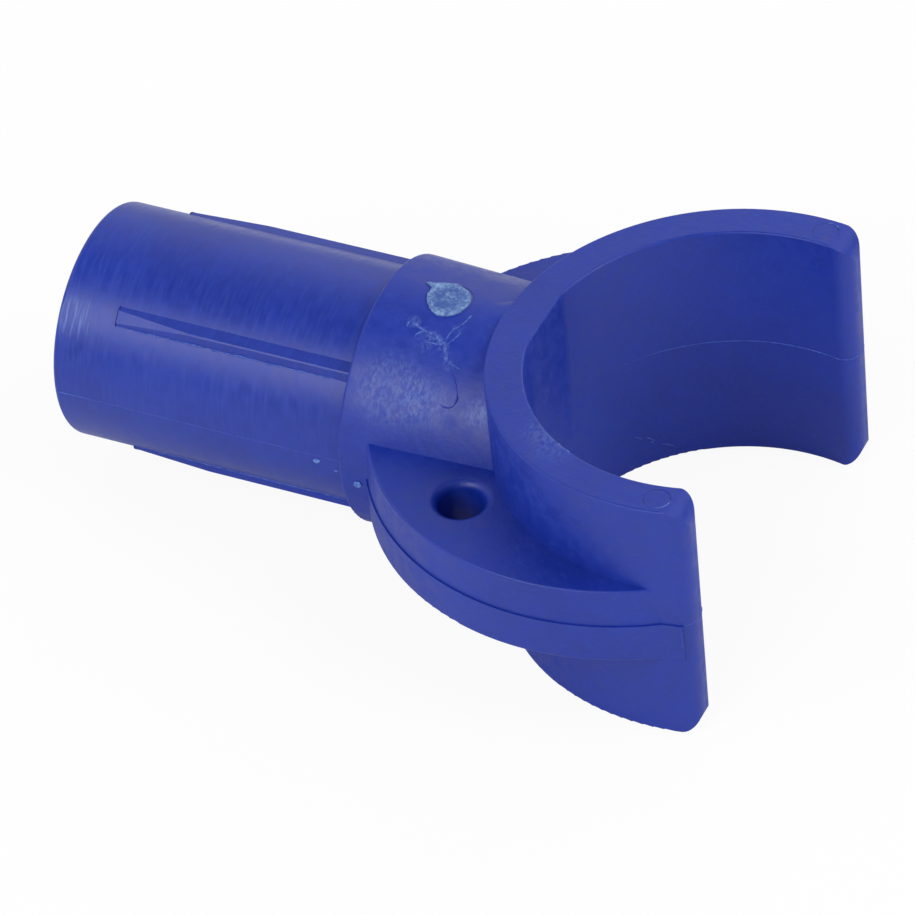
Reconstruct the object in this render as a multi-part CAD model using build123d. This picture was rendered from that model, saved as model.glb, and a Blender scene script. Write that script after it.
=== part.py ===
from build123d import *
import os
from math import radians, sqrt, tan

# Yoke of a manual pool vacuum head. Millimetres, +Z up.
# Origin: centre of the snap clip's bore, at mid height, on the clip's axis (Z).
# The spigot points along -X, the clip's mouth opens along +X.

# --- clip (C-shaped snap ring) -------------------------------------------------
CLIP_BORE_R = 22.1
CLIP_WALL = 4.45
CLIP_HEIGHT = 32.85        # on the bore's axis
RIM_SLOPE = 1.5            # degrees by which the upper rim rises towards the mouth
TIP_X = 6.6                # end face of both arms
TIP_OUTER_R = 1.9          # rounding of the arm ends, seen from above: outer corner
TIP_INNER_R = 1.9          # and inner corner
TIP_SIDE_R = 2.8           # rounding of the arm ends, seen from the side
RIM_ROUND = 0.25           # rounding of the rim's long edges
FLAT_WIDTH = 9.0           # flat strip down the root of the bore
FLAT_BLEND = 5.0           # radius that blends it into the bore

# --- collar -----------------------------------------------------------------------
COLLAR_R = 15.875          # at its lip, flush with a 31.75 mm pole
COLLAR_DRAFT = 2.15        # degrees by which it narrows towards the clip
COLLAR_LIP_X = -41.45
LIP_ROUND = 0.4
SOCKET_FLOOR_WALL = 4.45   # from the socket's floor to the clip's bore, on the axis

# --- flange (the two wings) -------------------------------------------------------
FLANGE_X = -11.9           # centre of the flange's round outline
FLANGE_R = 30.55           # lower layer
UPPER_THICK = 4.85
LOWER_THICK = 5.1
FLANGE_STEP = 0.2          # the upper layer is this much smaller at the seam
FLANGE_DRAFT = 0.3         # and this much smaller again at its top
FLANGE_ROUND = 0.3
TAIL_PROUD = 0.15          # the lower layer runs on along the arm, this proud of it
TAIL_X = 5.6               # and ends here
HOLE_R = 2.75
HOLE_ROUND = 1.0
HOLE_X = -23.75
HOLE_Y = 20.0

# --- spigot -----------------------------------------------------------------------
SPIGOT_R = 14.0
SPIGOT_WALL = 2.6
SPIGOT_LENGTH = 37.8       # from the collar's lip to the free end
SPIGOT_END_ROUND = 0.5
RIB_ANGLE = 45.0           # from the spigot's crest
RIB_HEIGHT = 0.75
RIB_STEEP = 0.95           # half widths of the roof-shaped rib: towards the seam
RIB_GENTLE = 1.35          # and towards the crest
RIB_RIDGE = 0.2            # width of its blunt ridge
RIB_START = 7.55           # from the free end
RIB_START_HEIGHT = 0.25
RIB_RAMP = 9.7             # length over which a rib climbs to its height

# --- pins ---------------------------------------------------------------------------
PIN_R = 2.75
PIN_X = -33.5
PIN_PROUD = 0.3
PIN_FOOT = 0.2             # it ends this far short of the spigot's bore
DOWEL_R = 1.5
DOWEL_X = 2.7
DOWEL_REACH = 10.0         # into the lower half
DOWEL_SUNK = 0.03          # below the rim

# --- clearances -----------------------------------------------------------------------
SOCKET_GAP = 0.05
PIN_GAP = 0.03

HALF = CLIP_HEIGHT / 2
CLIP_OUTER_R = CLIP_BORE_R + CLIP_WALL
CLIP_MIDDLE_R = CLIP_BORE_R + CLIP_WALL / 2
SOCKET_FLOOR_X = -(CLIP_BORE_R + SOCKET_FLOOR_WALL)
DOWEL_Y = sqrt(CLIP_MIDDLE_R ** 2 - DOWEL_X ** 2)
SPIGOT_END_X = COLLAR_LIP_X - SPIGOT_LENGTH
SPIGOT_BORE_R = SPIGOT_R - SPIGOT_WALL
FREE = 100.0               # reach of the cutting tools past the part
PAST = 1.0                 # overrun of a cut past the face it starts from
UPWARD = (Align.CENTER, Align.CENTER, Align.MIN)


def x_cylinder(radius, x0, x1):
    """Round bar along X."""
    return Pos(x0, 0, 0) * Rot(0, 90, 0) * Cylinder(radius, x1 - x0, align=UPWARD)


def z_cylinder(radius, z0, z1, x=0.0, y=0.0):
    """Round bar along Z."""
    return Pos(x, y, z0) * Cylinder(radius, z1 - z0, align=UPWARD)


def block(x0, x1, y0, y1, z0, z1):
    return Pos((x0 + x1) / 2, (y0 + y1) / 2, (z0 + z1) / 2) * Box(x1 - x0, y1 - y0, z1 - z0)


def rim_z(slope, x):
    """Height of a half's rim above the seam."""
    return HALF + x * tan(radians(slope))


def collar_r(x):
    """The collar's radius at a place along the spigot's axis."""
    return COLLAR_R - (x - COLLAR_LIP_X) * tan(radians(COLLAR_DRAFT))


def clip_ring(slope):
    """One half of the C: a flat at the bore's root, rounded arm ends, rounded rim edges."""
    flat_depth = CLIP_MIDDLE_R - sqrt(CLIP_BORE_R ** 2 - (FLAT_WIDTH / 2) ** 2)
    plan = Circle(CLIP_OUTER_R) - Circle(CLIP_BORE_R)
    plan += Pos(flat_depth / 2 - CLIP_MIDDLE_R, 0) * Rectangle(flat_depth, FLAT_WIDTH)
    plan -= Pos(TIP_X + FREE / 2, 0) * Rectangle(FREE, FREE)
    kinks = plan.vertices().filter_by_position(Axis.Y, -FLAT_WIDTH, FLAT_WIDTH)
    plan = fillet(kinks, FLAT_BLEND)
    plan = fillet(plan.vertices().group_by(Axis.X)[-1].sort_by(Axis.Y)[1:-1], TIP_INNER_R)
    corners = plan.vertices().group_by(Axis.X)[-1].sort_by(Axis.Y)
    plan = fillet([corners[0], corners[-1]], TIP_OUTER_R)
    above = Pos(0, 0, HALF) * Rot(0, -slope, 0) * Box(2 * FREE, 2 * FREE, FREE, align=UPWARD)
    ring = extrude(plan, CLIP_HEIGHT) - above
    ring = fillet(ring.faces().sort_by(Axis.Z)[-1].edges(), RIM_ROUND)
    side = make_face(
        Polyline(
            (-FREE, -FREE),
            (TIP_X, -FREE),
            (TIP_X, rim_z(slope, TIP_X)),
            (-FREE, rim_z(slope, -FREE)),
            close=True,
        )
    )
    side = fillet(side.vertices().group_by(Axis.X)[-1].sort_by(Axis.Y)[-1], TIP_SIDE_R)
    return ring & extrude(Plane.XZ * side, FREE, both=True)


def collar():
    """One half of the collar, narrowing from its lip to the clip."""
    end_x = CLIP_WALL - CLIP_BORE_R
    cone = Cone(COLLAR_R, collar_r(end_x), end_x - COLLAR_LIP_X, align=UPWARD)
    bar = Pos(COLLAR_LIP_X, 0, 0) * Rot(0, 90, 0) * cone
    bar = fillet(bar.edges().filter_by(GeomType.CIRCLE).sort_by(Axis.X)[0], LIP_ROUND)
    return bar & block(-FREE, FREE, -FREE, FREE, 0, HALF)


def flange_disc(disc):
    """A flange layer, seam at z = 0, kept short of the collar's lip and of the arm ends."""
    disc = fillet(disc.edges().sort_by(Axis.Z)[-1], FLANGE_ROUND)
    return disc & block(COLLAR_LIP_X + LIP_ROUND, TIP_X - TIP_OUTER_R, -FREE, FREE, -FREE, FREE)


def upper_flange():
    seam_r = FLANGE_R - FLANGE_STEP
    disc = Cone(seam_r, seam_r - FLANGE_DRAFT, UPPER_THICK, align=UPWARD)
    return flange_disc(Pos(FLANGE_X, 0, 0) * disc)


def lower_flange():
    """Drawn upside up."""
    return flange_disc(z_cylinder(FLANGE_R, 0, LOWER_THICK, FLANGE_X))


def flange_tails():
    """The lower layer's thin ends, which run on along both arms."""
    band = z_cylinder(CLIP_OUTER_R + TAIL_PROUD, 0, LOWER_THICK)
    band = fillet(band.edges().sort_by(Axis.Z)[-1], TAIL_PROUD / 2)
    band -= z_cylinder(CLIP_MIDDLE_R, -PAST, HALF)
    return band & block(0, TAIL_X, -FREE, FREE, 0, FREE)


def flange_holes(thick):
    """Both wing holes with their rounded mouths, as cutting tools for an upper half."""
    mouth = HOLE_R + HOLE_ROUND
    with BuildPart() as tool:
        with BuildSketch(Plane.XZ):
            with BuildLine():
                Polyline((0, -PAST), (HOLE_R, -PAST), (HOLE_R, thick - HOLE_ROUND))
                RadiusArc((HOLE_R, thick - HOLE_ROUND), (mouth, thick), HOLE_ROUND)
                Polyline((mouth, thick), (mouth, HALF), (0, HALF), (0, -PAST))
            make_face()
        revolve(axis=Axis.Z)
    hole = tool.part
    return [Pos(HOLE_X, side * HOLE_Y, 0) * hole for side in (-1, 1)]


def clip_half(slope, thick, flange):
    """One half, seam at z = 0: ring, collar and the given flange layer."""
    half = collar() + flange
    half -= z_cylinder(CLIP_MIDDLE_R, -PAST, HALF + PAST)
    half += clip_ring(slope)
    half -= x_cylinder(SPIGOT_R + SOCKET_GAP, COLLAR_LIP_X - PAST, SOCKET_FLOOR_X)
    for hole in flange_holes(thick):
        half -= hole
    return half


def pole_spigot():
    tube = x_cylinder(SPIGOT_R, SPIGOT_END_X, SOCKET_FLOOR_X)
    tube = fillet(tube.edges().filter_by(GeomType.CIRCLE).sort_by(Axis.X)[0], SPIGOT_END_ROUND)
    near = Rot(RIB_ANGLE, 0, 0) * crush_rib()
    for rib in (near, mirror(near, Plane.XZ)):
        tube += rib
        tube += mirror(rib, Plane.XY)
    tube -= x_cylinder(SPIGOT_BORE_R, SPIGOT_END_X - PAST, SOCKET_FLOOR_X + PAST)
    tube -= z_cylinder(PIN_R + PIN_GAP, 0, FREE, PIN_X)
    return tube


def crush_rib():
    """One roof-shaped rib on the tube's crest, climbing from the free end to the collar's lip."""
    start = SPIGOT_END_X + RIB_START
    foot = SPIGOT_R - SPIGOT_WALL / 2
    top = SPIGOT_R + RIB_HEIGHT
    side = Polyline(
        (start, foot),
        (start, SPIGOT_R + RIB_START_HEIGHT),
        (start + RIB_RAMP, top),
        (COLLAR_LIP_X, top),
        (COLLAR_LIP_X, foot),
        close=True,
    )
    section = Polyline(
        roof_foot(-RIB_STEEP, top, foot),
        (-RIB_RIDGE / 2, top),
        (RIB_RIDGE / 2, top),
        roof_foot(RIB_GENTLE, top, foot),
        close=True,
    )
    profile = extrude(Plane.XZ * make_face(side), 2 * (RIB_STEEP + RIB_GENTLE), both=True)
    return profile & extrude(Plane.YZ * make_face(section), FREE, both=True)


def roof_foot(width, top, foot):
    """Where a flank that leaves the tube's surface at this width ends inside its wall."""
    surface = sqrt(SPIGOT_R ** 2 - width ** 2)
    ridge = RIB_RIDGE / 2 if width > 0 else -RIB_RIDGE / 2
    return ridge + (width - ridge) * (top - foot) / (top - surface), foot


def spigot_lock_pin():
    return z_cylinder(PIN_R, SPIGOT_BORE_R + PIN_FOOT, collar_r(PIN_X) + PIN_PROUD, PIN_X)


def arm_dowel(side):
    top = rim_z(RIM_SLOPE, DOWEL_X) - DOWEL_SUNK
    return z_cylinder(DOWEL_R, -DOWEL_REACH, top, DOWEL_X, side * DOWEL_Y)


def dowel_bore(side, z0, z1):
    return z_cylinder(DOWEL_R + PIN_GAP, z0, z1, DOWEL_X, side * DOWEL_Y)


def clip_upper_half():
    half = clip_half(RIM_SLOPE, UPPER_THICK, upper_flange())
    half -= z_cylinder(PIN_R + PIN_GAP, 0, FREE, PIN_X)
    for side in (-1, 1):
        half -= dowel_bore(side, -PAST, FREE)
    return half


def clip_lower_half():
    half = Rot(180, 0, 0) * (clip_half(0, LOWER_THICK, lower_flange()) + flange_tails())
    for side in (-1, 1):
        half -= dowel_bore(side, -DOWEL_REACH, PAST)
    return half


NODES = {
    "clip_upper_half": clip_upper_half(),
    "clip_lower_half": clip_lower_half(),
    "pole_spigot": pole_spigot(),
    "spigot_lock_pin": spigot_lock_pin(),
    "arm_dowel_near": arm_dowel(-1),
    "arm_dowel_far": arm_dowel(1),
}

os.makedirs("parts", exist_ok=True)
for name, shape in NODES.items():
    export_step(shape, "parts/" + name + ".step")
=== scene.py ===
import math

import bmesh
import bpy
from mathutils import Matrix, Vector, noise


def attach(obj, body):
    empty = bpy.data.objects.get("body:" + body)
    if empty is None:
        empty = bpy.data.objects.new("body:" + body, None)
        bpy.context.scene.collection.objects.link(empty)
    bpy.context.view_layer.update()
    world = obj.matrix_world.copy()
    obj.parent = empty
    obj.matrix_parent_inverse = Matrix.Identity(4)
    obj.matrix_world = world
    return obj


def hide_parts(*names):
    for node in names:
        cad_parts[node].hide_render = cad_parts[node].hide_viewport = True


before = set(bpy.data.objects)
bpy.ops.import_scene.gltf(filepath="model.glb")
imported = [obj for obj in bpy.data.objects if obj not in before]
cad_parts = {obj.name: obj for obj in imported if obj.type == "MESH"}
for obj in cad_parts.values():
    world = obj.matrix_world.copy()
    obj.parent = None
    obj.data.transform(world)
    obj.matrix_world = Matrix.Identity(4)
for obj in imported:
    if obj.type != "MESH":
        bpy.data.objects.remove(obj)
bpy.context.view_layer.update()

MM = 0.001

# --- camera: solved on the clip's rims, the collar, the spigot's end and both arm tips ------------
CAMERA_AT = (220.6992 * MM, -462.6021 * MM, 452.4469 * MM)
CAMERA_AZIMUTH = 0.5043635  # radians, as the two below
CAMERA_ELEVATION = 0.7176479
CAMERA_ROLL = -0.1065371
CAMERA_LENS = 237.7867  # mm, as the sensor
CAMERA_SENSOR = 36.0
CAMERA_CLIP = (0.01, 10.0)


def direction(azimuth, elevation):
    """Unit vector away from the object at these angles in radians; azimuth 0 is -Y, a quarter turn is +X."""
    return Vector((
        math.sin(azimuth) * math.cos(elevation),
        -math.cos(azimuth) * math.cos(elevation),
        math.sin(elevation),
    ))


def make_camera():
    a, roll = CAMERA_AZIMUTH, CAMERA_ROLL
    back = direction(a, CAMERA_ELEVATION)
    level = Vector((math.cos(a), math.sin(a), 0.0))
    upright = back.cross(level)
    right = math.cos(roll) * level + math.sin(roll) * upright
    up = math.cos(roll) * upright - math.sin(roll) * level
    data = bpy.data.cameras.new("camera")
    data.lens = CAMERA_LENS
    data.sensor_width = CAMERA_SENSOR
    data.clip_start, data.clip_end = CAMERA_CLIP
    camera = bpy.data.objects.new("camera", data)
    bpy.context.scene.collection.objects.link(camera)
    turn = Matrix((right, up, back)).transposed().to_4x4()
    camera.matrix_world = Matrix.Translation(CAMERA_AT) @ turn
    bpy.context.scene.camera = camera


make_camera()

# --- light and stage ------------------------------------------------------------------------------
FLOOR_Z = -16.5 * MM
FLOOR_HALF = 3.0
FLOOR_PAPER = (0.86, 0.86, 0.86, 1.0)
FLOOR_GLOW = 0.92  # share of plain white that the camera sees in the floor; the rest keeps the shadow
WHITE = (1.0, 1.0, 1.0, 1.0)
ROOM_LEVEL = 0.24
AIM = Vector((-30 * MM, 0, 0))
LAMP_DISTANCE = 1.2

# Lamps fitted to the photograph's shading: azimuth, elevation, width and height in degrees, radiance.
LAMPS = (
    ("key_core", -25, 38, 34, 25, 3.75),
    ("key_low", -8, 20, 34, 13, 2.6),
    ("key_high", -24, 56, 34, 12, 0.7),
    ("key_right", 2, 38, 20, 25, 1.45),
    ("key_left", -57, 26, 28, 48, 0.65),
    ("front_low", 8, 7, 34, 13, 0.95),
    ("side_high", 100, 48, 38, 34, 3.2),
    ("side_low", 92, 16, 26, 30, 2.2),
    ("back_wall", 172, 26, 50, 46, 1.15),
    ("left_box", -118, 30, 80, 60, 0.5),
)


def softbox(name, azimuth, elevation, width, height, radiance):
    """Area lamp seen from the object at these angles in degrees."""
    away = direction(math.radians(azimuth), math.radians(elevation))
    data = bpy.data.lights.new(name, "AREA")
    data.shape = "RECTANGLE"
    data.size = 2 * LAMP_DISTANCE * math.tan(math.radians(width) / 2)
    data.size_y = 2 * LAMP_DISTANCE * math.tan(math.radians(height) / 2)
    data.energy = radiance * math.pi * data.size * data.size_y
    lamp = bpy.data.objects.new(name, data)
    bpy.context.scene.collection.objects.link(lamp)
    lamp.location = AIM + LAMP_DISTANCE * away
    lamp.rotation_mode = "QUATERNION"
    lamp.rotation_quaternion = (-away).to_track_quat("-Z", "Y")
    lamp.visible_camera = False


def make_world():
    """White for the camera, a dim even room for everything else."""
    world = bpy.data.worlds.new("studio")
    bpy.context.scene.world = world
    world.use_nodes = True
    tree = world.node_tree
    tree.nodes.clear()
    out = tree.nodes.new("ShaderNodeOutputWorld")
    mix = tree.nodes.new("ShaderNodeMixShader")
    room = tree.nodes.new("ShaderNodeBackground")
    white = tree.nodes.new("ShaderNodeBackground")
    path = tree.nodes.new("ShaderNodeLightPath")
    room.inputs["Color"].default_value = WHITE
    room.inputs["Strength"].default_value = ROOM_LEVEL
    white.inputs["Color"].default_value = WHITE
    white.inputs["Strength"].default_value = 1.0
    tree.links.new(path.outputs["Is Camera Ray"], mix.inputs["Fac"])
    tree.links.new(room.outputs[0], mix.inputs[1])
    tree.links.new(white.outputs[0], mix.inputs[2])
    tree.links.new(mix.outputs[0], out.inputs["Surface"])


def make_floor():
    """White table that keeps the part's soft shadow."""
    corners = [(FLOOR_HALF * x, FLOOR_HALF * y, FLOOR_Z) for x, y in ((-1, -1), (1, -1), (1, 1), (-1, 1))]
    mesh = bpy.data.meshes.new("floor")
    mesh.from_pydata(corners, [], [(0, 1, 2, 3)])
    floor = bpy.data.objects.new("floor", mesh)
    bpy.context.scene.collection.objects.link(floor)
    material = bpy.data.materials.new("white_table")
    material.use_nodes = True
    tree = material.node_tree
    tree.nodes.clear()
    out = tree.nodes.new("ShaderNodeOutputMaterial")
    mix = tree.nodes.new("ShaderNodeMixShader")
    paper = tree.nodes.new("ShaderNodeBsdfDiffuse")
    glow = tree.nodes.new("ShaderNodeEmission")
    path = tree.nodes.new("ShaderNodeLightPath")
    share = tree.nodes.new("ShaderNodeMath")
    share.operation = "MULTIPLY"
    share.inputs[1].default_value = FLOOR_GLOW
    paper.inputs["Color"].default_value = FLOOR_PAPER
    glow.inputs["Strength"].default_value = 1.0
    tree.links.new(path.outputs["Is Camera Ray"], share.inputs[0])
    tree.links.new(share.outputs[0], mix.inputs["Fac"])
    tree.links.new(paper.outputs[0], mix.inputs[1])
    tree.links.new(glow.outputs[0], mix.inputs[2])
    tree.links.new(mix.outputs[0], out.inputs["Surface"])
    mesh.materials.append(material)


make_world()
make_floor()
for lamp in LAMPS:
    softbox(*lamp)

# --- sizes of the solids, in millimetres ----------------------------------------------------------
COLLAR_R = 15.875
COLLAR_DRAFT = math.radians(2.15)
COLLAR_LIP_X = -41.45
CLIP_BORE_R = 22.1
CLIP_OUTER_R = 26.55
RIM_Z = 16.425
RIM_SLOPE = math.radians(1.5)
SPIGOT_R = 14.0
SPIGOT_END_X = -79.25
RIB_START_X = SPIGOT_END_X + 7.6
RIB_TURN = 45.0  # each rib's place round the spigot, in degrees from the top and from the bottom
PIN_X = -33.5
TIP_X = 6.6
TIP_ROUND = 1.9
TAIL_END_X = 5.35
TAIL_PROUD = 0.15
DOWEL_X = 2.7
DOWEL_R = 1.5
DOWEL_Y = math.sqrt(((CLIP_BORE_R + CLIP_OUTER_R) / 2) ** 2 - DOWEL_X ** 2)


def collar_r(x):
    return COLLAR_R - (x - COLLAR_LIP_X) * math.tan(COLLAR_DRAFT)


def on_collar(x, y, lift=0.0):
    """Point on the collar's upper side, lifted off it along its normal."""
    r = collar_r(x)
    z = math.sqrt(r * r - y * y)
    return Vector((x, y * (r + lift) / r, z * (r + lift) / r))


def rim_z(x):
    return RIM_Z + x * math.tan(RIM_SLOPE)


# --- materials ------------------------------------------------------------------------------------
class Look:
    """A procedural material under construction. Its place vector is in millimetres."""

    def __init__(self, name):
        self.material = bpy.data.materials.new(name)
        self.material.use_nodes = True
        self.tree = self.material.node_tree
        self.shader = self.tree.nodes["Principled BSDF"]
        self.shader.inputs["IOR"].default_value = 1.49
        place = self.node("ShaderNodeTexCoord").outputs["Object"]
        self.mm = self.vector("SCALE", place, scale=1 / MM)
        split = self.node("ShaderNodeSeparateXYZ")
        self.join(self.mm, split.inputs[0])
        self.x, self.y = split.outputs[:2]

    def node(self, kind, **settings):
        made = self.tree.nodes.new(kind)
        for key, value in settings.items():
            setattr(made, key, value)
        return made

    def join(self, source, target):
        if isinstance(source, (int, float, tuple)):
            target.default_value = source
        else:
            self.tree.links.new(source, target)

    def vector(self, operation, a, b=None, scale=None):
        made = self.node("ShaderNodeVectorMath", operation=operation)
        self.join(a, made.inputs[0])
        if b is not None:
            self.join(b, made.inputs[1])
        if scale is not None:
            made.inputs["Scale"].default_value = scale
        return made.outputs[0]

    def math(self, operation, a, b):
        made = self.node("ShaderNodeMath", operation=operation)
        self.join(a, made.inputs[0])
        self.join(b, made.inputs[1])
        return made.outputs[0]

    def noise(self, scale, detail=2.0, roughness=0.5, place=None, distortion=0.0):
        made = self.node("ShaderNodeTexNoise")
        self.join(self.mm if place is None else place, made.inputs["Vector"])
        made.inputs["Scale"].default_value = scale
        made.inputs["Detail"].default_value = detail
        made.inputs["Roughness"].default_value = roughness
        made.inputs["Distortion"].default_value = distortion
        return made.outputs["Fac"]

    def remap(self, value, low, high, to_low=0.0, to_high=1.0):
        made = self.node("ShaderNodeMapRange", interpolation_type="SMOOTHSTEP")
        self.join(value, made.inputs["Value"])
        made.inputs["From Min"].default_value = low
        made.inputs["From Max"].default_value = high
        made.inputs["To Min"].default_value = to_low
        made.inputs["To Max"].default_value = to_high
        return made.outputs["Result"]

    def distance(self, point):
        """Millimetres from a point."""
        away = self.node("ShaderNodeVectorMath", operation="DISTANCE")
        self.join(self.mm, away.inputs[0])
        away.inputs[1].default_value = point
        return away.outputs["Value"]

    def near(self, point, radius, soft):
        """1 within the radius of a point, in millimetres, and 0 past radius + soft."""
        return self.remap(self.distance(point), radius, radius + soft, 1.0, 0.0)

    def blend(self, a, b, share_a):
        """Weighted mean of two values."""
        return self.math("ADD", self.math("MULTIPLY", a, share_a), self.math("MULTIPLY", b, 1 - share_a))

    def mix(self, factor, a, b):
        made = self.node("ShaderNodeMix", data_type="RGBA")
        self.join(factor, made.inputs[0])
        self.join(a, made.inputs[6])
        self.join(b, made.inputs[7])
        return made.outputs[2]

    def bump(self, height, depth, normal=None):
        """Bump of this depth in millimetres from a height of 0 to 1."""
        made = self.node("ShaderNodeBump")
        made.inputs["Strength"].default_value = 1.0
        made.inputs["Distance"].default_value = depth * MM
        self.join(height, made.inputs["Height"])
        if normal is not None:
            self.join(normal, made.inputs["Normal"])
        return made.outputs["Normal"]

    def finish(self, colour, roughness, normal):
        self.join(colour, self.shader.inputs["Base Color"])
        self.join(roughness, self.shader.inputs["Roughness"])
        self.join(normal, self.shader.inputs["Normal"])
        return self.material


# Linear colours.
DEEP_BLUE = (0.0030, 0.0215, 0.275, 1.0)
BLUE = (0.0045, 0.0290, 0.335, 1.0)
DOWEL_DEEP = (0.0027, 0.0185, 0.250, 1.0)
# paler blue of the tail-end beads: painted highlight
BEAD_HIGHLIGHT_BLUE = (0.017, 0.042, 0.310, 1.0)
# dark blue for the lines round the ribs' starts: painted shade
SHADE_LINE_BLUE = (0.0020, 0.012, 0.16, 1.0)
HAZE_BLUE = (0.035, 0.085, 0.44, 1.0)
# whitish haze and scuff colour, also a painted highlight on the collar's near flank
HAZE_AND_SHEEN_PALE = (0.17, 0.27, 0.60, 1.0)
FLASH_DEEP = (0.012, 0.048, 0.38, 1.0)
FLASH_PALE = (0.055, 0.115, 0.48, 1.0)
TORN_BLUE = (0.034, 0.088, 0.33, 1.0)
TORN_PALE = (0.22, 0.36, 0.62, 1.0)
RUN_PALE = (0.068, 0.145, 0.485, 1.0)
# pale blues of real chips and slivers, also a painted highlight on the dowel arcs
CHIP_AND_HIGHLIGHT_BLUE = (0.035, 0.095, 0.44, 1.0)
CHIP_AND_HIGHLIGHT_PALE = (0.15, 0.28, 0.66, 1.0)

SPIGOT_SCUFF = (-77.0, -10.6, 9.2)

# Whitish smudges on the yoke, in mm: place, radius, soft edge; then strength. Most are stress-whitening and
# scuffs; the two broad ones on the collar's near flank are a painted highlight.
HAZES_AND_SHEEN = (
    ((-35.9, -4.4, 15.0), 0.2, 0.9, 0.34),
    ((-34.2, -5.2, 14.7), 0.1, 0.8, 0.26),
    ((-33.0, -5.6, 14.6), 0.2, 0.9, 0.42),
    ((-32.2, -6.1, 14.3), 0.2, 1.0, 0.46),
    ((-31.3, -6.3, 14.2), 0.1, 0.7, 0.46),
    ((-30.8, -7.2, 13.7), 0.1, 0.6, 0.40),
    ((-30.1, -8.1, 13.2), 0.1, 0.8, 0.34),
    ((-33.6, -6.4, 14.2), 0.4, 1.8, 0.16),
    ((-30.7, -3.9, 15.0), 0.2, 1.0, 0.14),
    # painted highlight: two broad smudges brightening the collar's sheen
    ((-35.8, -11.6, 10.5), 2.2, 3.6, 0.21),
    ((-31.3, -11.9, 10.0), 1.4, 2.6, 0.18),
    ((-25.2, -11.5, 10.0), 0.7, 1.8, 0.34),
    ((-14.0, -17.6, 16.0), 0.6, 2.6, 0.17),
    ((-11.6, -19.6, 16.1), 0.8, 3.0, 0.15),
)


def scratches(look, turn, spacing, threshold, sway):
    """Sparse fine hairlines along one direction: 1 on a line, 0 elsewhere."""
    turned = look.node("ShaderNodeVectorRotate", rotation_type="EULER_XYZ")
    look.join(look.mm, turned.inputs["Vector"])
    turned.inputs["Rotation"].default_value = turn
    drawn = look.vector("MULTIPLY", turned.outputs[0], (0.12, 1.0, 1.0))
    lines = look.noise(spacing, 1.0, 0.5, place=drawn, distortion=sway)
    return look.remap(lines, threshold, threshold + 0.03)


def yoke_look(name, deep, blue, hazes_and_sheen):
    """Satin moulded plastic, mottled from deep to blue: cloudy gloss, a few fine scratches, whitish hazes,
    some of them a painted highlight on the collar.
    """
    look = Look(name)
    cloud = look.noise(0.06, 3.0, 0.55)
    mottle = look.noise(0.55, 2.0, 0.6)
    grain = look.noise(2.2, 1.0, 0.5)
    tone = look.blend(cloud, mottle, 0.55)
    colour = look.mix(look.remap(tone, 0.32, 0.68), deep, blue)
    hair_a = scratches(look, (0.3, 0.1, 0.5), 2.2, 0.665, 0.5)
    hair_b = scratches(look, (1.2, 0.7, 2.1), 1.8, 0.675, 0.9)
    hairs = look.math("MAXIMUM", hair_a, hair_b)
    colour = look.mix(look.math("MULTIPLY", hairs, 0.14), colour, HAZE_BLUE)
    streaked = look.vector("MULTIPLY", look.mm, (1.0, 0.6, 0.45))
    crumbs = look.remap(look.noise(2.6, 2.0, 0.6, place=streaked, distortion=0.4), 0.34, 0.68)
    # whitish hazes and scuffs; the broad ones on the collar are a painted highlight
    for point, radius, soft, strength in hazes_and_sheen:
        haze_and_sheen = look.math("MULTIPLY", look.near(point, radius, soft), crumbs)
        colour = look.mix(look.math("MULTIPLY", haze_and_sheen, strength), colour, HAZE_AND_SHEEN_PALE)
    satin = look.remap(mottle, 0.3, 0.7, 0.37, 0.50)
    rough = look.math("ADD", satin, look.remap(cloud, 0.3, 0.7, -0.02, 0.02))
    rough = look.math("ADD", rough, look.math("MULTIPLY", hairs, 0.08))
    normal = look.bump(mottle, 0.050)
    normal = look.bump(grain, 0.010, normal)
    return look.finish(colour, rough, normal)


def spigot_look():
    """Glossier tube with fine marks round its girth, stronger towards the free end."""
    look = Look("spigot_plastic")
    girth = look.vector("MULTIPLY", look.mm, (1.0, 0.10, 0.10))
    rings = look.noise(2.9, 2.0, 0.6, place=girth)
    swell = look.noise(0.9, 0.0, 0.5, place=girth)
    cloud = look.noise(0.07, 3.0, 0.55)
    mottle = look.noise(0.7, 1.0, 0.5)
    tone = look.blend(cloud, mottle, 0.6)
    colour = look.mix(look.remap(tone, 0.32, 0.68), DEEP_BLUE, BLUE)
    worn = look.remap(look.x, SPIGOT_END_X - 0.25, SPIGOT_END_X + 10.25, 1.0, 0.6)
    marks = look.math("MULTIPLY", look.remap(rings, 0.42, 0.72), worn)
    colour = look.mix(look.math("MULTIPLY", marks, 0.26), colour, HAZE_BLUE)
    scuff = look.math("MULTIPLY", look.near(SPIGOT_SCUFF, 0.8, 2.2), marks)
    colour = look.mix(look.math("MULTIPLY", scuff, 0.55), colour, HAZE_AND_SHEEN_PALE)
    gloss = look.remap(rings, 0.2, 0.8, 0.31, 0.41)
    rough = look.math("ADD", gloss, look.remap(mottle, 0.3, 0.7, -0.02, 0.02))
    normal = look.bump(swell, 0.011)
    normal = look.bump(mottle, 0.022, normal)
    return look.finish(colour, rough, normal)


def shade_line_look():
    """Painted shade for dark lines: deep blue, rough and darker than the skin round it."""
    look = Look("shade_line_plastic")
    colour = look.mix(look.noise(1.5, 2.0, 0.5), SHADE_LINE_BLUE, DEEP_BLUE)
    rough = look.remap(look.noise(2.0), 0.3, 0.7, 0.6, 0.8)
    return look.finish(colour, rough, look.bump(look.noise(1.8, 1.0), 0.01))


def flash_look():
    """Thin flash, a little paler than the skin where light comes through it."""
    look = Look("flash_plastic")
    crumbs = look.noise(1.6, 2.0, 0.6)
    colour = look.mix(look.remap(crumbs, 0.35, 0.65), FLASH_DEEP, FLASH_PALE)
    return look.finish(colour, look.remap(crumbs, 0.3, 0.7, 0.38, 0.52), look.bump(crumbs, 0.02))


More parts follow.
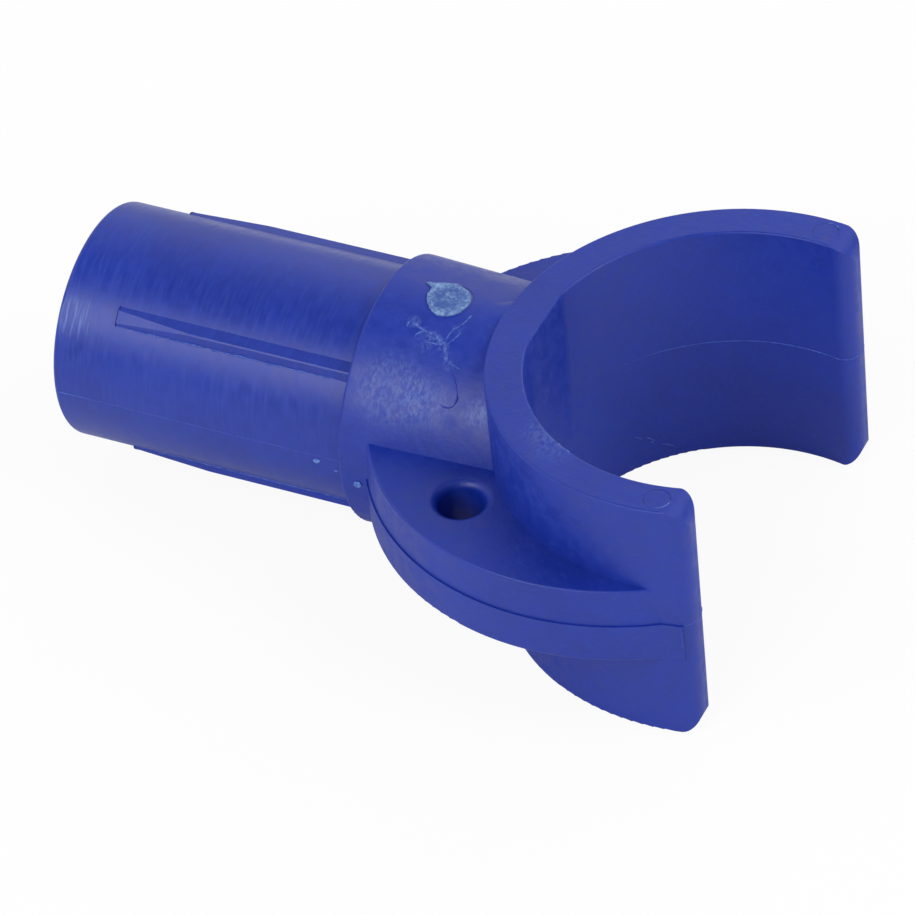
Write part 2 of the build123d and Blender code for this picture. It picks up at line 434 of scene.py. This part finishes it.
def torn_look():
    """Stress-whitened, torn plastic: pale crumbs on mid blue, denser towards the cap's edge."""
    look = Look("torn_plastic")
    crumbs = look.noise(2.4, 4.0, 0.7)
    cloud = look.noise(0.8, 2.0, 0.5)
    rim = look.remap(look.distance((PIN_X, -0.1, 15.8)), 1.4, 2.6, 0.0, 0.17)
    mixed = look.math("ADD", crumbs, look.math("MULTIPLY", cloud, 0.35))
    pale = look.remap(look.math("ADD", mixed, rim), 0.58, 1.06)
    colour = look.mix(pale, TORN_BLUE, TORN_PALE)
    normal = look.bump(crumbs, 0.10)
    normal = look.bump(look.noise(5.0, 2.0, 0.6), 0.02, normal)
    return look.finish(colour, look.remap(crumbs, 0.3, 0.7, 0.62, 0.85), normal)


def mark_look():
    """Haze of a dried run: whitish near the pin, fading into the plastic's own blue down the side."""
    look = Look("run_mark_plastic")
    crumbs = look.noise(2.2, 3.0, 0.65)
    high = look.remap(look.y, -8.9, -7.4)
    pale = look.math("MULTIPLY", look.remap(crumbs, 0.32, 0.62), high)
    colour = look.mix(pale, BLUE, RUN_PALE)
    return look.finish(colour, look.remap(crumbs, 0.3, 0.7, 0.45, 0.7), look.bump(crumbs, 0.05))


def chip_and_highlight_look():
    """Chipped edges and slivers, paler than the skin round them; the same pale plastic is a painted highlight
    on the dowel arcs.
    """
    look = Look("chips_and_highlight_plastic")
    crumbs = look.noise(2.4, 3.0, 0.7)
    colour = look.mix(look.remap(crumbs, 0.35, 0.65), CHIP_AND_HIGHLIGHT_BLUE, CHIP_AND_HIGHLIGHT_PALE)
    return look.finish(colour, look.remap(crumbs, 0.3, 0.7, 0.5, 0.75), look.bump(crumbs, 0.05))


YOKE = yoke_look("yoke_plastic", DEEP_BLUE, BLUE, HAZES_AND_SHEEN)
# paler yoke plastic for the tail-end beads: painted highlight
BEAD_HIGHLIGHT = yoke_look("bead_highlight_plastic", BLUE, BEAD_HIGHLIGHT_BLUE, ())
DOWEL = yoke_look("dowel_plastic", DOWEL_DEEP, BLUE, ())
SPIGOT = spigot_look()
TORN = torn_look()
MARK = mark_look()
CHIPS_AND_HIGHLIGHT = chip_and_highlight_look()
# painted shade for the lines round the ribs' starts
SHADE_LINE = shade_line_look()
FLASH = flash_look()

for name, material in (
    ("clip_upper_half", YOKE),
    ("clip_lower_half", YOKE),
    ("pole_spigot", SPIGOT),
    ("spigot_lock_pin", YOKE),
    ("arm_dowel_near", DOWEL),
    ("arm_dowel_far", DOWEL),
):
    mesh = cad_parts[name].data
    mesh.materials.clear()
    mesh.materials.append(material)

# --- pieces ---------------------------------------------------------------------------------------
THINNEST_BEAD = 0.02


def add_piece(name, points, faces, material, slot):
    """A closed mesh from points in millimetres, riding on the part."""
    mesh = bpy.data.meshes.new(name)
    mesh.from_pydata([tuple(MM * c for c in p) for p in points], [], faces)
    mesh.materials.append(material)
    for polygon in mesh.polygons:
        polygon.use_smooth = True
    work = bmesh.new()
    work.from_mesh(mesh)
    bmesh.ops.recalc_face_normals(work, faces=work.faces)
    work.to_mesh(mesh)
    work.free()
    piece = bpy.data.objects.new(name, mesh)
    bpy.context.scene.collection.objects.link(piece)
    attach(piece, "root")
    return piece


def frange(start, end, step):
    """Numbers from start to end, both included, about a step apart."""
    count = max(1, round((end - start) / step))
    return [start + (end - start) * k / count for k in range(count + 1)]


def arc(cx, cy, radius, start, end, step):
    """Points round a vertical axis, angles in degrees, at mid height."""
    turns = frange(math.radians(start), math.radians(end), math.copysign(step / radius, end - start))
    return [Vector((cx + radius * math.cos(t), cy + radius * math.sin(t), 0.0)) for t in turns]


def spline(points, step):
    """Catmull-Rom curve through the points, sampled about every step."""
    points = [Vector(p) for p in points]
    ends = [2 * points[0] - points[1]] + points + [2 * points[-1] - points[-2]]
    out = []
    for i in range(1, len(ends) - 2):
        a, b, c, d = ends[i - 1:i + 3]
        count = max(1, round((c - b).length / step))
        for k in range(count):
            t = k / count
            out.append(
                0.5 * (2 * b + (c - a) * t + (2 * a - 5 * b + 4 * c - d) * t ** 2
                       + (3 * b - a - 3 * c + d) * t ** 3)
            )
    out.append(points[-1])
    return out


def tube(path, radius, sides):
    """Closed tube along a path; its radius at each point is radius(share of the path, place)."""
    points, faces = [], []
    side = None
    for i, place in enumerate(path):
        ahead = (path[min(i + 1, len(path) - 1)] - path[max(i - 1, 0)]).normalized()
        if side is None:
            side = ahead.orthogonal()
        side = (side - ahead * side.dot(ahead)).normalized()
        other = ahead.cross(side)
        r = radius(i / (len(path) - 1), place)
        for k in range(sides):
            turn = 2 * math.pi * k / sides
            points.append(place + r * (math.cos(turn) * side + math.sin(turn) * other))
    for i in range(len(path) - 1):
        for k in range(sides):
            m = (k + 1) % sides
            faces.append((i * sides + k, i * sides + m, (i + 1) * sides + m, (i + 1) * sides + k))
    faces.append(tuple(range(sides)))
    faces.append(tuple(range(len(points) - sides, len(points))))
    return points, faces


def gather(parts):
    """Several (points, faces) as one."""
    points, faces = [], []
    for more_points, more_faces in parts:
        base = len(points)
        points.extend(more_points)
        faces.extend(tuple(base + k for k in face) for face in more_faces)
    return points, faces


def wobble(place, scale, salt=0.0):
    """Smooth noise from -1 to 1 at a place in millimetres."""
    return noise.noise(Vector(place) * scale + Vector((salt, 2 * salt, -salt)))


def tapered(size, rough, scale, salt):
    """Radius of a bead that thins out at both ends; rough is how uneven it is, scale how finely."""
    def radius(share, place):
        ends = min(1.0, 6 * share + 0.12, 6 * (1 - share) + 0.12)
        return max(THINNEST_BEAD, size * ends * (1 + rough * wobble(place, scale, salt)))
    return radius


def growing(bead, rate):
    """The same bead, fading in from the start of its path."""
    def radius(share, place):
        return max(THINNEST_BEAD, bead(share, place) * min(1.0, rate * share))
    return radius


def loft(rings):
    """Closed body from rings of equal count, capped at both ends."""
    count = len(rings[0])
    points = [p for ring in rings for p in ring]
    faces = []
    for i in range(len(rings) - 1):
        for k in range(count):
            m = (k + 1) % count
            faces.append((i * count + k, i * count + m, (i + 1) * count + m, (i + 1) * count + k))
    for start in (0, len(points) - count):
        centre = len(points)
        ring = points[start:start + count]
        points.append(sum(ring, Vector()) / count)
        faces.extend((start + k, start + (k + 1) % count, centre) for k in range(count))
    return points, faces


PIN_R = 2.79
PIN_FOOT_Z = 11.6
PIN_SIDES = 64
# Rings of the pin's trimmed head: share of its radius, depth below the collar's surface.
PIN_HEAD = ((1.0, 0.05), (0.97, 0.012), (0.6, 0.008), (0.25, 0.006))


def pin_stem():
    """The pin's shank, its head flush with the collar."""
    def circle(share):
        turns = [2 * math.pi * k / PIN_SIDES for k in range(PIN_SIDES)]
        return [(PIN_X + share * PIN_R * math.cos(t), share * PIN_R * math.sin(t)) for t in turns]

    rings = [[Vector((x, y, PIN_FOOT_Z)) for x, y in circle(1.0)]]
    rings += [[on_collar(x, y, -drop) for x, y in circle(share)] for share, drop in PIN_HEAD]
    return loft(rings)


# The torn cap's ragged outline from above, then its rings: share of the outline, lift off the collar.
TORN_OUTLINE = (
    (-37.2, 1.61), (-36.5, 1.83), (-35.65, 2.12), (-34.6, 2.53), (-33.85, 2.75), (-32.95, 2.48),
    (-31.95, 1.87), (-31.2, 1.12), (-30.92, -0.08), (-31.12, -1.22), (-31.67, -2.12), (-32.54, -2.70),
    (-33.55, -2.94), (-34.55, -2.58), (-35.4, -1.78), (-35.95, -0.85), (-36.2, -0.02), (-36.1, 0.60),
    (-36.3, 1.10),
)
TORN_RINGS = (
    (0.90, -0.45), (0.975, -0.06), (0.985, 0.12), (0.955, 0.24), (0.89, 0.28), (0.80, 0.24), (0.68, 0.19),
    (0.54, 0.16), (0.40, 0.15), (0.26, 0.16), (0.12, 0.17),
)


def torn_head():
    """Ragged cap of whitened plastic where the pin's head was trimmed."""
    centre = Vector((PIN_X, -0.1, 0.0))
    edge = []
    for p in spline([(x, y, 0.0) for x, y in TORN_OUTLINE + TORN_OUTLINE[:1]], 0.16)[:-1]:
        out = (p - centre).normalized()
        edge.append(p + out * 0.10 * wobble(p, 2.6, 3.0))
    rings = []
    for share, lift in TORN_RINGS:
        ring = []
        for p in edge:
            q = centre + share * (p - centre)
            rough = 0.0 if lift < 0 else 0.07 * wobble(q, 1.7, 8.0) + 0.05 * wobble(q, 4.2, 5.0)
            ring.append(on_collar(q.x, q.y, lift + rough))
        rings.append(ring)
    return loft(rings)


# The dried run below the pin, from above: bead radius, then the points (x, y) of its line on the collar.
RUN_LINES = (
    # stem
    (0.22, ((-31.5, -6.0), (-30.85, -7.05), (-30.3, -8.05))),
    # hooked end
    (0.10, ((-30.3, -8.05), (-29.85, -8.3), (-29.05, -9.05), (-28.4, -9.95), (-28.0, -10.7),
            (-28.1, -11.25), (-28.6, -11.6), (-29.3, -11.65), (-30.0, -11.5))),
    # fork
    (0.17, ((-36.4, -3.8), (-35.7, -4.6), (-34.2, -5.15), (-32.95, -5.4), (-31.5, -6.0))),
    (0.12, ((-29.85, -1.2), (-30.4, -3.0), (-31.25, -4.4), (-31.5, -6.0))),
    # spurs
    (0.11, ((-31.4, -6.1), (-32.5, -6.3), (-33.7, -6.3))),
    (0.11, ((-30.2, -8.0), (-29.3, -8.0), (-28.4, -8.3))),
    (0.11, ((-31.1, -6.0), (-30.4, -4.9), (-30.2, -4.2))),
    (0.11, ((-34.3, -5.1), (-34.8, -5.6), (-35.1, -6.2))),
    (0.11, ((-36.1, -4.2), (-36.5, -4.7), (-36.4, -5.3))),
)


def run_mark():
    """Beads of the dried run below the pin: a fork, its stem, a hooked end and a few spurs."""
    parts = []
    for salt, (size, line) in enumerate(RUN_LINES):
        path = spline([on_collar(x, y, 0.05 - 0.75 * size) for x, y in line], 0.2)
        path = [p + 0.07 * wobble(p, 2.3, 5.0 * salt) * Vector((1, 0, 0)) for p in path]
        parts.append(tube(path, tapered(size, 0.8, 1.8, 3.1 * salt), 8))
    return gather(parts)


def spigot_flash():
    """Hair-thin parting line along both sides of the spigot, thickest at the free end."""
    def seam(share, place):
        return max(0.03, 0.11 - 0.011 * (place.x - SPIGOT_END_X))

    parts = []
    for side in (-1, 1):
        path = [
            Vector((x, side * (SPIGOT_R - 0.015), 0.05 * wobble((x, side, 0), 0.3)))
            for x in frange(SPIGOT_END_X + 0.6, COLLAR_LIP_X - 0.05, 0.6)
        ]
        parts.append(tube(path, seam, 6))
    return gather(parts)


def clip_flash():
    """Parting line round the bore and over the arm ends, whose two corners are rounded alike."""
    round_x = TIP_X - TIP_ROUND
    inner_y = math.sqrt((CLIP_BORE_R + TIP_ROUND) ** 2 - round_x ** 2)
    outer_y = math.sqrt((CLIP_OUTER_R - TIP_ROUND) ** 2 - round_x ** 2)
    inner_turn = math.degrees(math.atan2(inner_y, round_x))
    outer_turn = math.degrees(math.atan2(outer_y, round_x))
    root_turn = 166
    sunk = 0.02
    parts = []
    for side in (-1, 1):
        path = arc(0, 0, CLIP_BORE_R + sunk, root_turn, inner_turn, 0.6)
        path += arc(round_x, inner_y, TIP_ROUND - sunk, inner_turn - 180, 0, 0.25)[1:]
        path += arc(round_x, outer_y, TIP_ROUND - sunk, 0, outer_turn, 0.25)
        path = [Vector((p.x, side * p.y, 0.04 * wobble(p, 0.3))) for p in path]
        parts.append(tube(path, growing(tapered(0.085, 0.6, 0.3, side), 2.4), 6))
    return gather(parts)


def rib_burrs():
    """Ragged hair of flash along the seam side of each rib's foot."""
    parts = []
    foot = RIB_TURN + 4.0
    for k, turn in enumerate((foot, -foot, 180 - foot, foot - 180)):
        t = math.radians(turn)
        path = []
        for x in frange(RIB_START_X, COLLAR_LIP_X - 0.1, 0.22):
            slip = 0.004 * wobble((x, turn, 0), 1.3)
            path.append(Vector((x, -SPIGOT_R * math.sin(t + slip), SPIGOT_R * math.cos(t + slip))))
        parts.append(tube(path, tapered(0.105, 1.5, 1.2, 2.0 * k), 6))
    return gather(parts)


# A rib's outline at its blunt start: place across it, height over the spigot.
RIB_OUTLINE = ((-0.95, 0.0), (-0.67, 0.25), (0.93, 0.25), (1.35, 0.0))


def rib_start_shade_lines():
    """Dark line of painted shade round the blunt start of each rib."""
    parts = []
    for side in (-1, 1):
        for way in (-1, 1):
            turn = math.radians(RIB_TURN if way > 0 else 180 - RIB_TURN)
            path = []
            for across, lift in RIB_OUTLINE:
                t = turn - way * across / SPIGOT_R
                r = SPIGOT_R + lift
                path.append(Vector((RIB_START_X - 0.05, side * r * math.sin(t), r * math.cos(t))))
            parts.append(tube(spline(path, 0.2), lambda share, place: 0.06, 6))
    return gather(parts)


CHIP_SIDES = 18
CHIP_THICK = 0.08
# Rings of a chip: share of its outline, lift as a share of its thickness.
CHIP_RINGS = ((0.8, -1.0), (1.0, 0.2), (0.75, 0.9), (0.35, 1.0))
# Chips by the collar's lip: place, normal, half length, half width.
LIP_CHIPS = (
    ((-45.2, -13.98, -0.8), (0, -1, -0.06), 0.56, 0.36),
    ((-42.9, -13.9, -1.7), (0, -1, -0.12), 0.26, 0.16),
    ((-39.2, -15.79, -1.15), (0, -1, -0.07), 0.50, 0.52),
    ((-42.0, -13.2, -4.7), (0, -1, -0.34), 0.24, 0.44),
)
# Slivers on the bore's upper edge: first and last turn about the clip's axis in degrees, bead radius.
SLIVERS = ((239.0, 240.3, 0.10), (241.3, 244.4, 0.08))


def chip(place, normal, length, width, salt):
    """Small ragged chip lying on a surface, slanted a little off the spigot's line."""
    normal, along = Vector(normal).normalized(), Vector((1, 0, 0.3)).normalized()
    across = normal.cross(along)
    rings = []
    for share, lift in CHIP_RINGS:
        ring = []
        for k in range(CHIP_SIDES):
            t = 2 * math.pi * k / CHIP_SIDES
            reach = 1 + 0.55 * wobble((math.cos(t), math.sin(t), 0), 2.0, salt)
            flat = share * reach * (length * math.cos(t) * along + width * math.sin(t) * across)
            ring.append(Vector(place) + flat + lift * CHIP_THICK * normal)
        rings.append(ring)
    return loft(rings)


def edge_chips():
    """Chips by the collar's lip and slivers along the bore's edge."""
    parts = [chip(*row, 1.7 * k) for k, row in enumerate(LIP_CHIPS)]
    for k, (start, end, size) in enumerate(SLIVERS):
        edge = arc(0, 0, CLIP_BORE_R + 0.12, start, end, 0.12)
        path = [Vector((p.x, p.y, rim_z(p.x) - 0.10)) for p in edge]
        parts.append(tube(path, tapered(size, 1.0, 2.2, 4.0 * k), 6))
    return gather(parts)


# Scuffs low on the far side of the bore: turn about the clip's axis in degrees, height.
SCUFFS = (
    ((145.0, -11.2), (143.4, -11.6), (142.0, -12.1)),
    ((141.0, -12.0), (139.4, -12.5), (137.8, -13.1)),
    ((139.6, -12.9), (138.2, -13.3)),
    ((136.0, -13.8), (134.0, -14.2), (132.0, -14.7)),
)


def bore_scuffs():
    """Short whitish scuffs where something rubbed the bore."""
    parts = []
    for k, line in enumerate(SCUFFS):
        corners = []
        for turn, z in line:
            t = math.radians(turn)
            corners.append((CLIP_BORE_R * math.cos(t), CLIP_BORE_R * math.sin(t), z))
        path = spline(corners, 0.15)
        parts.append(tube(path, tapered(0.10, 1.0, 2.6, 2.3 * k), 6))
    return gather(parts)


BLEND_START_X = -29.4
BLEND_RIM_R = 26.2
BLEND_NOSE_Y = -0.3
BLEND_MIDDLE_Y = 0.3
BLEND_HALF_WIDTH = 2.0
BLEND_THICK = 0.4
BLEND_ROWS = 14


def root_blend():
    """Low saddle where the clip's rim runs out into the collar's crest."""
    outline = [
        Vector((BLEND_START_X + 0.25 * (y - BLEND_NOSE_Y) ** 2, y, 0)) for y in frange(-3.2, 3.6, 0.2)
    ]
    rows = BLEND_ROWS
    points, faces = [], []
    for level in (0, 1):
        for p in outline:
            turn = math.atan2(p.y, p.x)
            rim = Vector((BLEND_RIM_R * math.cos(turn), BLEND_RIM_R * math.sin(turn), 0))
            fade = math.exp(-((p.y - BLEND_MIDDLE_Y) / BLEND_HALF_WIDTH) ** 4)
            for k in range(rows + 1):
                share = k / rows
                q = p.lerp(rim, share)
                low = on_collar(q.x, q.y).z - 0.03
                ease = share * share * (3 - 2 * share)
                top = low + (rim_z(q.x) - 0.01 - low) * ease * fade
                points.append(Vector((q.x, q.y, top if level else low - BLEND_THICK)))
    wide, long = rows + 1, len(outline)
    for i in range(long - 1):
        for k in range(rows):
            a = i * wide + k
            quad = (a, a + 1, a + 1 + wide, a + wide)
            faces.append(quad)
            faces.append(tuple(corner + wide * long for corner in quad))
    border = [i * wide for i in range(long)] + [(long - 1) * wide + k for k in range(1, wide)]
    border += [i * wide + rows for i in range(long - 2, -1, -1)] + list(range(rows - 1, 0, -1))
    for a, b in zip(border, border[1:] + border[:1]):
        faces.append((a, b, b + wide * long, a + wide * long))
    return points, faces


def tail_end_highlight_beads():
    """Upright beads where the lower layer's tails stop on the arms, paler than the skin: a painted highlight
    on the end edges.
    """
    y = math.sqrt((CLIP_OUTER_R + TAIL_PROUD) ** 2 - TAIL_END_X ** 2) - 0.05
    parts = []
    for side in (-1, 1):
        path = [
            Vector((TAIL_END_X + 0.04 * wobble((0, side, z), 0.8), side * y, z))
            for z in frange(-3.4, -0.05, 0.2)
        ]
        parts.append(tube(path, tapered(0.20, 0.3, 0.6, side), 8))
    return gather(parts)


# Which arm the dowel is in, then the first and last turn of the painted highlight arc round it, in degrees.
DOWEL_HIGHLIGHT_ARCS = ((-1, -78, 2), (1, 35, 105))


def dowel_highlight_arcs():
    """Pale beads of flash round part of each dowel's end on the rim: a painted highlight on the ring's edge.
    """
    parts = []
    for side, start, end in DOWEL_HIGHLIGHT_ARCS:
        edge = arc(DOWEL_X, side * DOWEL_Y, DOWEL_R + 0.04, start, end, 0.15)
        path = [Vector((p.x, p.y, rim_z(p.x) - 0.01)) for p in edge]
        parts.append(tube(path, tapered(0.05, 0.5, 1.5, side), 6))
    return gather(parts)


stem = add_piece("lock_pin_stem", *pin_stem(), YOKE, "yoke_plastic")
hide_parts("spigot_lock_pin")
add_piece("lock_pin_torn_head", *torn_head(), TORN, "pin_plastic")
add_piece("collar_run_mark", *run_mark(), MARK, "pin_plastic")
add_piece("spigot_parting_flash", *spigot_flash(), FLASH, "spigot_plastic")
add_piece("clip_parting_flash", *clip_flash(), FLASH, "yoke_plastic")
add_piece("rib_foot_burrs", *rib_burrs(), FLASH, "spigot_plastic")
# painted shade round the ribs' blunt starts
add_piece("rib_start_shade_lines", *rib_start_shade_lines(), SHADE_LINE, "spigot_plastic")
add_piece("edge_chips", *edge_chips(), CHIPS_AND_HIGHLIGHT, "pin_plastic")
add_piece("bore_scuffs", *bore_scuffs(), FLASH, "yoke_plastic")
add_piece("root_blend", *root_blend(), YOKE, "yoke_plastic")
# painted highlight on the tails' end edges
add_piece("tail_end_highlight_beads", *tail_end_highlight_beads(), BEAD_HIGHLIGHT, "yoke_plastic")
# painted highlight round part of each dowel's end
add_piece("dowel_highlight_arcs", *dowel_highlight_arcs(), CHIPS_AND_HIGHLIGHT, "dowel_plastic")

# --- view transform -------------------------------------------------------------------------------
bpy.context.scene.view_settings.view_transform = "Standard"
